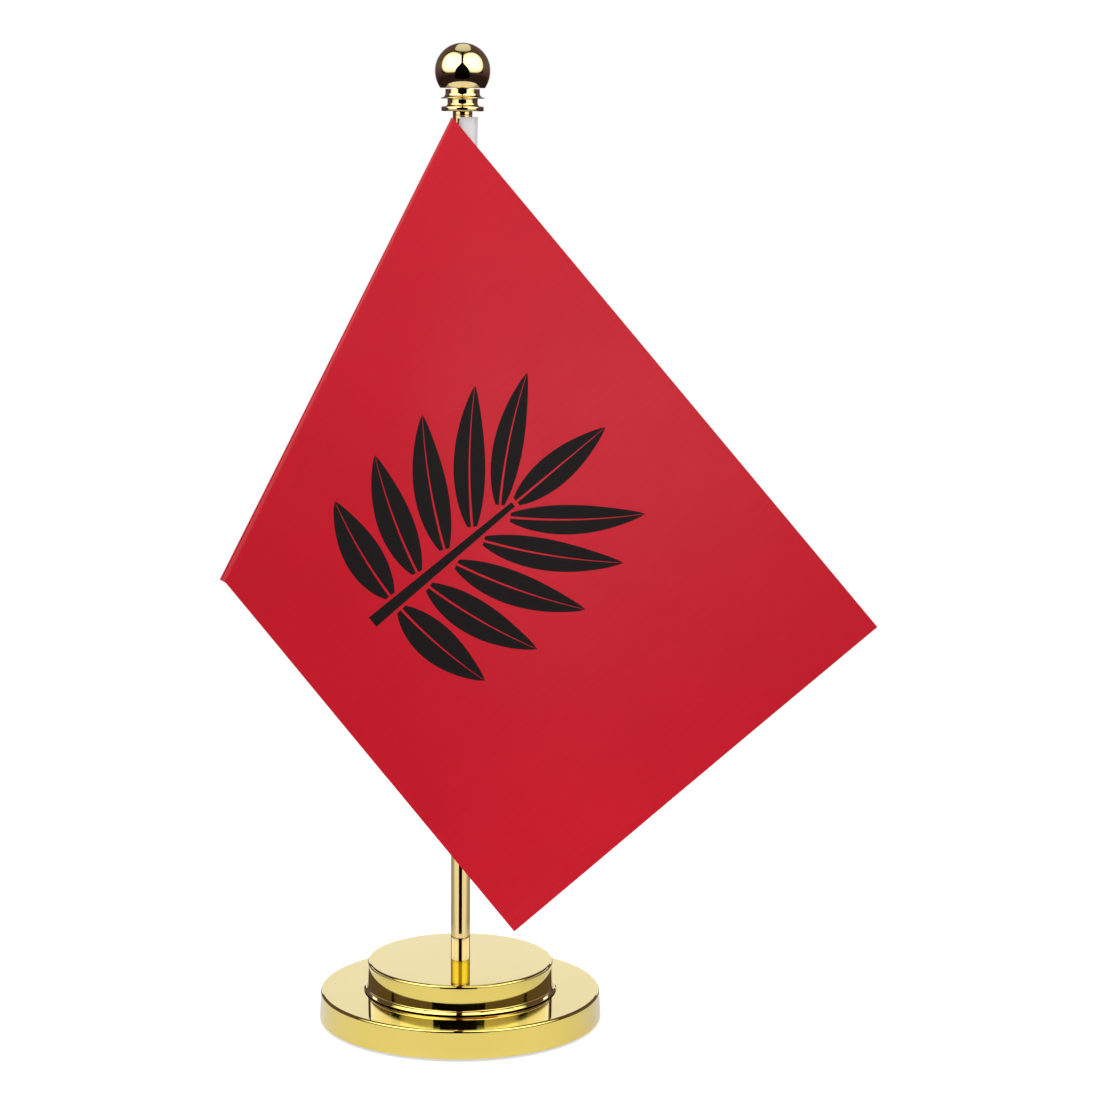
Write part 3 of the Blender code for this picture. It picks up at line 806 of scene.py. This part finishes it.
def panel_triangles(inks):
    """Cover the front panel with triangles that keep the print's outlines as edges.

    Returns the flat points, the triangles, whether each is inked, and the points down the fold.
    """
    rows = []
    for i in range(CLOTH_ROWS + 1):
        share = i / CLOTH_ROWS
        start = panel_start(share)
        far = Vector((TOP_EDGE, FLY_EDGE * share))
        rows.append([start.lerp(far, j / PANEL_COLUMNS) for j in range(PANEL_COLUMNS + 1)])
    top, bottom = rows[0], rows[-1]
    fold = [row[0] for row in rows]
    fly = [row[-1] for row in rows]
    edge = top[:-1] + fly[:-1] + bottom[:0:-1] + fold[:0:-1]
    outlines = [counterclockwise(outline) for outline in [edge] + inks]
    points = []
    faces = []
    for outline in outlines:
        faces.append(list(range(len(points), len(points) + len(outline))))
        points += outline
    outline_points = finder(points)
    for row in rows[1:-1]:
        for point in row[1:-1]:
            if outline_points.find(point.to_3d())[2] > PRINT_CLEARANCE:
                points.append(point)
    made = geometry.delaunay_2d_cdt(points, [], faces, 1, TRIANGLE_TOLERANCE)
    flat, triangles, sources = made[0], made[2], made[5]
    inked = [any(source > 0 for source in found) for found in sources]
    places = finder(flat)
    along_fold = [places.find(point.to_3d())[1] for point in fold]
    return flat, triangles, inked, along_fold


def add_cloth(name, mesh, thickness, offset):
    """Cloth made thick from one layer, with sharp cut edges so that it is shaded flat right up to them."""
    data = bpy.data.meshes.new(name)
    mesh.to_mesh(data)
    piece = add_piece(name, data, CLOTH_SHARP)
    mesh.clear()
    mesh.from_mesh(data)
    for edge in mesh.edges:
        if edge.is_boundary:
            edge.smooth = False
    mesh.to_mesh(data)
    mesh.free()
    thick = piece.modifiers.new("thickness", "SOLIDIFY")
    thick.thickness = thickness
    thick.offset = offset
    return piece


def counterclockwise(outline):
    """The outline, turned round if it runs clockwise."""
    twice_area = sum(a.cross(b) for a, b in zip(outline, outline[1:] + outline[:1]))
    return outline if twice_area > 0.0 else outline[::-1]


def share_into(flat):
    """How far a flat point lies from the fold towards the fly edge, 0 to 1."""
    share = max(0.0, min(1.0, flat.y / FLY_EDGE))
    start = panel_start(share)
    return max(0.0, (flat.x - start.x) / (TOP_EDGE - start.x))


def build_flag(satin, ink):
    """The flag in one mesh: the printed front panel, the fold and the flap behind, sharing their points."""
    flat, triangles, inked, along_fold = panel_triangles(print_outlines())
    mesh = bmesh.new()
    layer = mesh.loops.layers.uv.new("flat")
    places = {}
    panel = []
    for point in flat:
        vertex = mesh.verts.new(panel_point(point, share_into(point)))
        places[vertex] = point
        panel.append(vertex)
    for triangle, is_ink in zip(triangles, inked):
        face = mesh.faces.new([panel[i] for i in triangle])
        face.material_index = 1 if is_ink else 0
    rows = []
    for i, first in enumerate(along_fold):
        share = i / CLOTH_ROWS
        points = fold_points(share)
        row = [mesh.verts.new(point) for point in points[:-1]] + [panel[first]]
        places[panel[first]] = flat[first]
        walked = 0.0
        for j in range(len(points) - 2, -1, -1):
            walked += (points[j + 1] - points[j]).length
            places[row[j]] = flat[first] - Vector((1.0, 0.0)) * walked
        rows.append(row)
    for upper, lower in zip(rows, rows[1:]):
        for j in range(len(upper) - 1):
            mesh.faces.new((upper[j], lower[j], lower[j + 1], upper[j + 1]))
    bmesh.ops.recalc_face_normals(mesh, faces=mesh.faces)
    for face in mesh.faces:
        for loop in face.loops:
            loop[layer].uv = places[loop.vert]
    area = sum(face.calc_area() for face in mesh.faces)
    flag = add_cloth("flag_satin", mesh, SATIN_THICKNESS, 0.0)
    stand_for(flag, "flag_cloth", satin, "flag")
    flag.data.materials.append(ink)
    return flag


# -------------------- sleeve and stitches

def sleeve_ring(share):
    """One round of the sleeve, a share of its height down from the top: a loose, slightly wrinkled oval."""
    low, high = SLEEVE_LOW, SLEEVE_HIGH
    points = []
    for i in range(SLEEVE_STEPS):
        angle = 2 * math.pi * i / SLEEVE_STEPS
        from_middle = (math.cos(angle) * high.x - SLEEVE_RIM_MIDDLE) / SLEEVE_RIM_SLANT
        lowered = min(1.0, max(0.0, 0.5 - from_middle))
        rim = (1 - share) ** SLEEVE_RIM_FADE * SLEEVE_RIM_DROP * lowered
        wrinkle = sum(size * math.sin(angle * around + share * down) for size, around, down in WRINKLES)
        x = (high.x - SLEEVE_INSET + wrinkle) * math.cos(angle)
        y = (high.y - SLEEVE_INSET + wrinkle) * math.sin(angle)
        points.append(Vector((x, y, high.z - (high.z - low.z) * share - rim)))
    return points


def build_sleeve(look):
    """The white sleeve: one strip of cloth round the pole, open at both ends."""
    mesh = bmesh.new()
    layer = mesh.loops.layers.uv.new("flat")
    count, steps = SLEEVE_ROUNDS, SLEEVE_STEPS
    rounds = [[mesh.verts.new(point) for point in sleeve_ring(i / count)] for i in range(count + 1)]
    low, high = SLEEVE_LOW, SLEEVE_HIGH
    around = math.pi * (high.x + high.y)
    for i, (upper, lower) in enumerate(zip(rounds, rounds[1:])):
        for j in range(steps):
            k = (j + 1) % steps
            face = mesh.faces.new((upper[j], lower[j], lower[k], upper[k]))
            for loop, (across, down) in zip(face.loops, ((j, i), (j, i + 1), (j + 1, i + 1), (j + 1, i))):
                loop[layer].uv = (around * across / steps, (high.z - low.z) * down / count)
    area = sum(face.calc_area() for face in mesh.faces)
    sleeve = add_cloth("flag_sleeve_satin", mesh, SLEEVE_WALL, -1.0)
    stand_for(sleeve, "flag_sleeve", look, "flag")


def build_stitches(look):
    """A row of sewing along the seam, on the cloth's outer face: short runs that dip in at both ends."""
    curve = bpy.data.curves.new("seam_stitches", "CURVE")
    curve.dimensions = "3D"
    curve.bevel_depth = STITCH_RADIUS
    curve.bevel_resolution = 2
    curve.use_fill_caps = True
    length = SLEEVE_HIGH.z - SLEEVE_LOW.z
    pitch = (STITCH_LENGTH + STITCH_GAP) / length
    share = STITCHES_FROM
    while share < STITCHES_TO:
        spline = curve.splines.new("POLY")
        spline.points.add(STITCH_STEPS)
        for i, target in enumerate(spline.points):
            along = i / STITCH_STEPS
            here = share + along * STITCH_LENGTH / length
            rise = STITCH_RADIUS * (STITCH_RISE * math.sin(math.pi * along) - STITCH_DIP)
            target.co = (*seam_surface(here, rise), 1.0)
        share += pitch
    mesh = bpy.data.meshes.new_from_object(bpy.data.objects.new("stitch_source", curve))
    stitches = add_piece("seam_stitches", mesh, STITCH_SHARP)
    stand_for(stitches, "seam_thread", look, "flag")


def seam_surface(share, rise):
    """A point beside the seam on the flap's outer face, standing off the cloth by rise."""
    row = fold_points(share)
    across = (row[1] - row[0]).normalized()
    below = (fold_points(share + SEAM_STEP)[0] - row[0]).normalized()
    outside = below.cross(across).normalized()
    inset = min(STITCH_INSET, (row[FLAP_STEPS] - row[0]).length / 2)
    return row[0] + across * inset + outside * (SATIN_THICKNESS / 2 + rise)


# -------------------- stage

def add_camera():
    data = bpy.data.cameras.new("camera")
    data.lens = CAMERA_LENS
    data.sensor_width = SENSOR
    camera = bpy.data.objects.new("camera", data)
    turn = Matrix.Rotation(math.pi / 2 - CAMERA_PITCH, 4, "X") @ Matrix.Rotation(CAMERA_ROLL, 4, "Z")
    camera.matrix_world = Matrix.Translation(CAMERA_PLACE) @ turn
    bpy.context.scene.collection.objects.link(camera)
    bpy.context.scene.camera = camera


def stage_sheet(name, points, look):
    """A flat card of the studio."""
    return stage_faces(name, points, [tuple(range(len(points)))], look)


def stage_faces(name, points, faces, look):
    """A piece of the studio: never seen by the camera, only in reflections and as light or shade."""
    mesh = bpy.data.meshes.new(name)
    mesh.from_pydata(points, [], faces)
    mesh.materials.append(look)
    sheet = bpy.data.objects.new(name, mesh)
    sheet.visible_camera = False
    bpy.context.scene.collection.objects.link(sheet)
    return sheet


def emptied(made):
    """The node tree of a new material or world, with nothing in it."""
    made.use_nodes = True
    made.node_tree.nodes.clear()
    return made.node_tree


def glow_material(name, middle, rim):
    """White light from a soft box with rounded corners, brightest in its middle."""
    made = bpy.data.materials.new(name)
    tree = emptied(made)
    place = add(tree, "ShaderNodeTexCoord").outputs["Generated"]
    split = add(tree, "ShaderNodeSeparateXYZ", Vector=place)
    powers = []
    for axis in ("X", "Y"):
        centred = worked_out(tree, "MULTIPLY_ADD", split.outputs[axis], 2.0, -1.0)
        powers.append(worked_out(tree, "POWER", worked_out(tree, "ABSOLUTE", centred), CORNER_POWER))
    from_middle = worked_out(tree, "ADD", *powers)
    inside = worked_out(tree, "LESS_THAN", from_middle, 1.0)
    fade = remap(tree, from_middle, middle, rim, from_low=0.0, from_high=1.0)
    glow = add(tree, "ShaderNodeEmission", Strength=worked_out(tree, "MULTIPLY", fade, inside))
    add(tree, "ShaderNodeOutputMaterial", Surface=glow.outputs["Emission"])
    return made


def card_material(name, color):
    made, tree, shader = new_material(name)
    set_inputs(tree, shader, {"Base Color": color, "Roughness": 1.0, "Specular IOR Level": 0.0})
    return made


def add_soft_box(name, azimuth, elevation, distance, size, look):
    """A soft box that faces the finial; azimuth 0 is towards the camera, and grows to the right."""
    x, y = size[0] / 2, size[1] / 2
    sheet = stage_sheet(name, [(-x, -y, 0), (x, -y, 0), (x, y, 0), (-x, y, 0)], look)
    a, e = math.radians(azimuth), math.radians(elevation)
    out = Vector((math.sin(a) * math.cos(e), -math.cos(a) * math.cos(e), math.sin(e)))
    sheet.location = Vector((0.0, 0.0, FINIAL_HEIGHT)) + out * distance
    sheet.rotation_mode = "QUATERNION"
    sheet.rotation_quaternion = out.to_track_quat("Z", "Y")


def add_lights(black):
    """The soft boxes, board and strip, and the black screen and bar between the soft boxes."""
    box = glow_material("soft_box_glow", *BOX_GLOW)
    for side in (-1.0, 1.0):
        add_soft_box("soft_box", BOX_AZIMUTH * side, BOX_ELEVATION, BOX_DISTANCE, BOX_SIZE, box)
    board = glow_material("board_glow", *BOARD_GLOW)
    add_soft_box("back_board", BOARD_AZIMUTH, BOARD_ELEVATION, BOARD_DISTANCE, BOARD_SIZE, board)
    near, far = STRIP_HALF_WIDTHS
    corners = [(-near, STRIP_FRONT), (near, STRIP_FRONT), (far, STRIP_BACK), (-far, STRIP_BACK)]
    strip = [(x, y, STRIP_HEIGHT) for x, y in corners]
    stage_sheet("top_strip", strip, glow_material("strip_glow", *STRIP_GLOW))
    right = []
    for i in range(SCREEN_STEPS + 1):
        height = SCREEN_TOP * i / SCREEN_STEPS
        half = SCREEN_HALF_WIDTH * math.exp(-(height / SCREEN_REACH) ** SCREEN_SHAPE)
        right.append((max(half, SCREEN_NARROWEST), SCREEN_Y, height))
    stage_sheet("screen", right + [(-x, y, z) for x, y, z in right[::-1]], black)
    bar = []
    for side in (-1.0, 1.0):
        ends = (BAR_FRONT, BAR_BACK)[::int(side)]
        bar += [(half * side, y, z) for y, z, half in ends]
    stage_sheet("bar", bar, black)


def add_collars(black, upper_tier, pole):
    """The cards round the base: the white one is for the upper tier alone, and the amber and brown ones,
    painted reflections, for the pole.
    """
    all_round = (-COLLAR_REACH, COLLAR_REACH)
    middle = (-DARK_CARD_REACH, DARK_CARD_REACH)
    white = add_collar("white_band", all_round, WHITE_RIMS, plain_glow("white_glow", WHITE_GLOW))
    light_only(white, "white_falls_on", [upper_tier])
    add_collar("dark_card", middle, DARK_RIMS, black)
    # The amber and brown cards are painted reflections, glows that only the pole sees
    amber = plain_glow("amber_painted_reflection", AMBER_PAINTED_REFLECTION)
    brown = plain_glow("brown_painted_reflection", BROWN_PAINTED_REFLECTION)
    arcs = [(middle, brown)]
    for side in (-1.0, 1.0):
        arcs.append(((DARK_CARD_REACH * side, AMBER_REACH * side), amber))
        arcs.append(((AMBER_REACH * side, COLLAR_REACH * side), brown))
    for azimuths, look in arcs:
        band = add_collar("amber_band", azimuths, AMBER_RIMS, look)
        light_only(band, "amber_falls_on", [pole])


def plain_glow(name, color):
    """Light of one colour from a clear card, which whatever it does not light sees through."""
    made = bpy.data.materials.new(name)
    tree = emptied(made)
    glow = add(tree, "ShaderNodeEmission", Color=color, Strength=1.0)
    clear = add(tree, "ShaderNodeBsdfTransparent")
    both = add(tree, "ShaderNodeAddShader")
    feed(tree, both.inputs[0], glow.outputs["Emission"])
    feed(tree, both.inputs[1], clear.outputs["BSDF"])
    add(tree, "ShaderNodeOutputMaterial", Surface=both.outputs["Shader"])
    return made


def add_collar(name, azimuths, rims, look):
    """A card bent round the pole, standing in the air, between two azimuths counted from the front."""
    count = math.ceil(abs(azimuths[1] - azimuths[0]) / COLLAR_STEP)
    points = []
    for i in range(count + 1):
        angle = math.radians(azimuths[0] + (azimuths[1] - azimuths[0]) * i / count)
        points += [(radius * math.sin(angle), -radius * math.cos(angle), z) for radius, z in rims]
    faces = [(i, i + 2, i + 3, i + 1) for i in range(0, 2 * count, 2)]
    card = stage_faces(name, points, faces, look)
    card.visible_diffuse = False
    card.visible_shadow = False
    return card


def light_only(light, name, pieces):
    """Let a light fall on these pieces and nothing else."""
    lit = bpy.data.collections.new(name)
    for piece in pieces:
        lit.objects.link(piece)
    light.light_linking.receiver_collection = lit


def add_lamp(flag, name, place, target, size, power, glossy):
    """A small lamp that lights the flag and nothing else."""
    data = bpy.data.lights.new(name, "AREA")
    data.shape = "ELLIPSE"
    data.size, data.size_y = size
    data.energy = power
    lamp = bpy.data.objects.new(name, data)
    lamp.location = place
    lamp.rotation_mode = "QUATERNION"
    lamp.rotation_quaternion = (Vector(place) - Vector(target)).to_track_quat("Z", "Y")
    lamp.visible_glossy = glossy
    bpy.context.scene.collection.objects.link(lamp)
    light_only(lamp, name + "_falls_on", [flag])


def add_world():
    """White behind the object for the camera, and a dim studio for light and reflections."""
    world = bpy.data.worlds.new("studio")
    bpy.context.scene.world = world
    tree = emptied(world)
    place = add(tree, "ShaderNodeTexCoord").outputs["Generated"]
    height = add(tree, "ShaderNodeSeparateXYZ", Vector=place).outputs["Z"]
    bands = add(tree, "ShaderNodeValToRGB", Fac=remap(tree, height, 0.0, 1.0, from_low=-1.0, from_high=1.0))
    ramp = bands.color_ramp
    for level, color in STUDIO_WALLS:
        stop = ramp.elements.new((level + 1.0) / 2)
        stop.color = (*color, 1.0)
    ramp.elements.remove(ramp.elements[0])
    ramp.elements.remove(ramp.elements[-1])
    dim = add(tree, "ShaderNodeBackground", Color=bands.outputs["Color"])
    white = add(tree, "ShaderNodeBackground", Color=(1.0, 1.0, 1.0))
    pick = add(tree, "ShaderNodeMixShader", Fac=add(tree, "ShaderNodeLightPath").outputs["Is Camera Ray"])
    feed(tree, pick.inputs[1], dim.outputs["Background"])
    feed(tree, pick.inputs[2], white.outputs["Background"])
    add(tree, "ShaderNodeOutputWorld", Surface=pick.outputs["Shader"])


def add_floor():
    """A white table top that glows faintly, and glows white to the camera except close to the base, where a
    contact shadow is painted; behind the object it is painted darker in reflections.
    """
    ring = []
    for i in range(FLOOR_STEPS):
        angle = 2 * math.pi * i / FLOOR_STEPS
        ring.append((FLOOR_RADIUS * math.cos(angle), FLOOR_RADIUS * math.sin(angle), 0.0))
    made, tree, shader = new_material("table_white")
    place = add(tree, "ShaderNodeTexCoord").outputs["Object"]
    y = add(tree, "ShaderNodeSeparateXYZ", Vector=place).outputs["Y"]
    radius = add(tree, "ShaderNodeVectorMath", operation="LENGTH", Vector=place).outputs["Value"]
    # Behind the object and away from it, the table's reflected glow and colour are darkened: painted shade
    far = remap(tree, radius, 0.0, REFLECTED_SHADE_SHARE, *REFLECTED_SHADE_FROM_RADIUS)
    dim = worked_out(tree, "MULTIPLY", far, remap(tree, y, 0.0, 1.0, *REFLECTED_SHADE_FROM_Y))
    glow = add(tree, "ShaderNodeMix", data_type="FLOAT")  # inputs 2 and 3 are its numbers
    feed(tree, glow.inputs[0], add(tree, "ShaderNodeLightPath").outputs["Is Camera Ray"])
    feed(tree, glow.inputs[2], remap(tree, dim, FLOOR_GLOW, 0.0, 0.0, 1.0))
    # Close to the base the camera sees less glow: a painted contact shadow
    feed(tree, glow.inputs[3], remap(tree, radius, PAINTED_CONTACT_SHADOW_GLOW, 1.0, CONTACT_RADIUS, CLEAR_RADIUS))
    set_inputs(tree, shader, {
        "Base Color": mix_colors(tree, dim, (FLOOR_ALBEDO, FLOOR_ALBEDO, FLOOR_ALBEDO), (0.0, 0.0, 0.0)),
        "Emission Color": (1.0, 1.0, 1.0), "Emission Strength": glow.outputs[0],
        "Roughness": 0.9, "Specular IOR Level": 0.0,
    })
    floor = stage_sheet("floor", ring, made)
    floor.visible_camera = True


def dress_inner_nodes():
    """Finish the inner CAD pieces, which keep their shapes, and return the steel."""
    steel = metal_material("zinc_plate", *ZINC, roughness=0.28)
    spring = metal_material("spring_steel", *SPRING_STEEL, roughness=0.34)
    brass = metal_material("turned_brass", *BRASS, roughness=0.26)
    iron = rough_material("cast_iron", *CAST_IRON, roughness=0.75, scale=900.0, depth=0.0003)
    nylon = rough_material("nylon", *NYLON, roughness=0.45, scale=700.0, depth=0.00006)
    looks = {
        "ballast_disc": iron, "bottom_plate": steel, "clamp_nut": steel, "flat_washer": steel,
        "spring_washer": spring, "tier_spacer": nylon, "lower_pole_insert": brass,
        "upper_pole_insert": brass, "finial_ball_nut": brass,
    }
    for name, look in looks.items():
        for slot in nodes[name].material_slots:
            slot.material = look
    return steel


add_camera()
add_world()
black_look = card_material("black_card", BLACK_CARD)
add_lights(black_look)
add_floor()
bpy.context.scene.view_settings.view_transform = "Standard"
base_look = gold_material("base_gold", *BASE_GOLD)
pole_look = gold_material("pole_gold", *POLE_GOLD)
finial_look = gold_material("finial_gold", *FINIAL_GOLD)
build_lower_tier(base_look)
upper_tier = build_upper_tier(base_look)
pole = build_pole(pole_look)
add_collars(black_look, upper_tier, pole)
build_finial_washer(pole_look)
build_neck(finial_look)
build_ball(finial_look)
build_pad(rough_material("black_foam", *FOAM, roughness=0.9, scale=1400.0, depth=0.0002))
build_stop_ring(rough_material("black_rubber", *RUBBER, roughness=0.6, scale=800.0, depth=0.00005))
steel_look = dress_inner_nodes()
build_screws(steel_look)
build_sleeve(satin_material("white_satin", *WHITE_SATIN, roughness=0.5, sheen=0.1, gloss=0.3))
red_look = satin_material("red_satin", *RED_SATIN, roughness=0.34, sheen=0.0, gloss=0.28)
print_look = satin_material("black_print", *BLACK_PRINT, roughness=0.5, sheen=0.01, gloss=0.2)
flag = build_flag(red_look, print_look)
for lamp in LAMPS:
    add_lamp(flag, *lamp)
build_stitches(rough_material("white_thread", *SEWING_THREAD, roughness=0.75, scale=4000.0, depth=0.00008))
